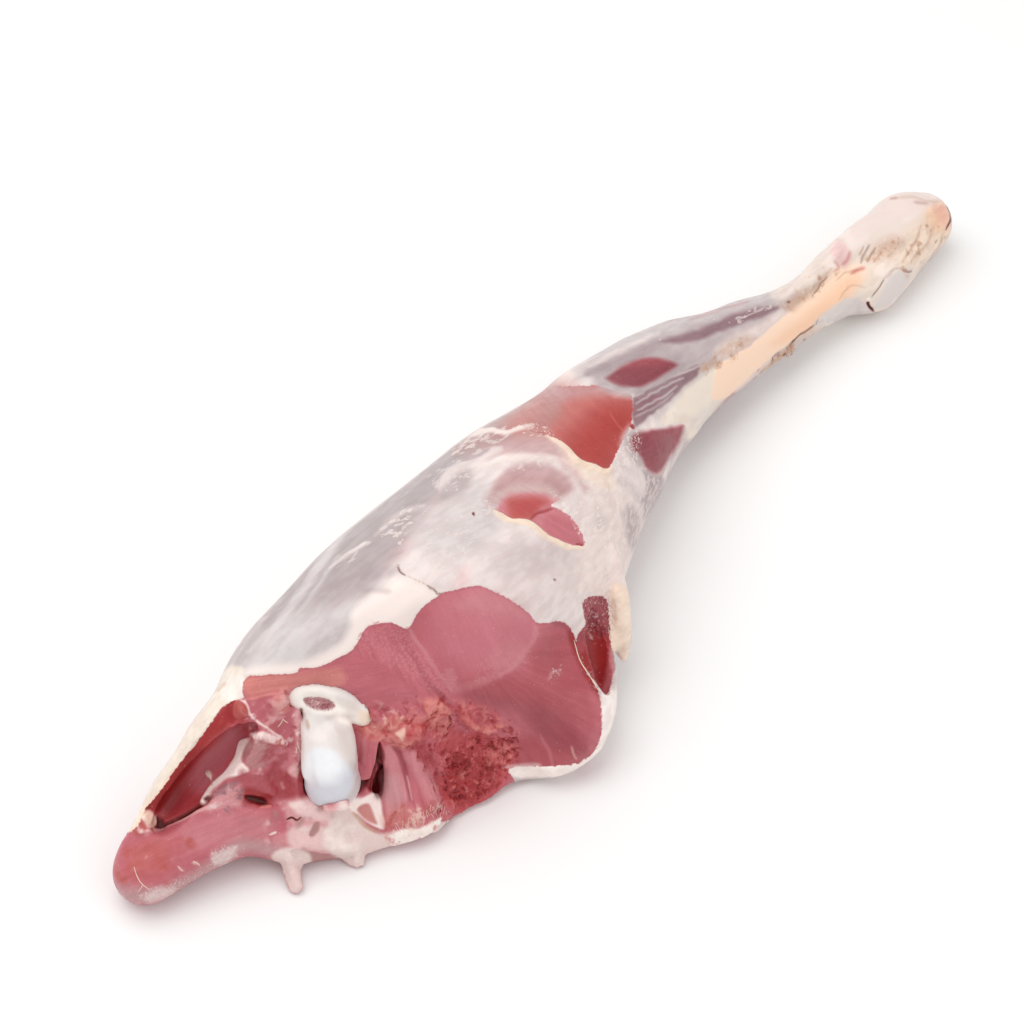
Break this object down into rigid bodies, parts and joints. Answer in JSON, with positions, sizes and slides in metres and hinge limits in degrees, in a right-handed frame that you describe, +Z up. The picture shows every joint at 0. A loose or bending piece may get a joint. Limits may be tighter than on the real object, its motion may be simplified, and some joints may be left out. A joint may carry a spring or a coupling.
{
  "type": "raw kid goat leg",
  "caption": "Raw hind leg of a young goat, skinned and cut from the pelvis, with the head of the thigh bone bare in the cut face and the hock left on.",
  "frame": {"origin": "middle of the leg's box in plan, on the surface that the leg lies on", "axes": "+X from the cut end to the hock, +Y from the knee side to the back of the thigh, +Z up"},
  "size_m": [0.4758, 0.1218, 0.0796],
  "materials": {
    "meat": "moist raw meat under silvery fascia and thin white fat",
    "bone": "moist bare bone with smooth bluish cartilage"
  },
  "bodies": {
    "root": {"leg_meat": "meat", "thigh_bone": "bone"}
  },
  "joints": []
}
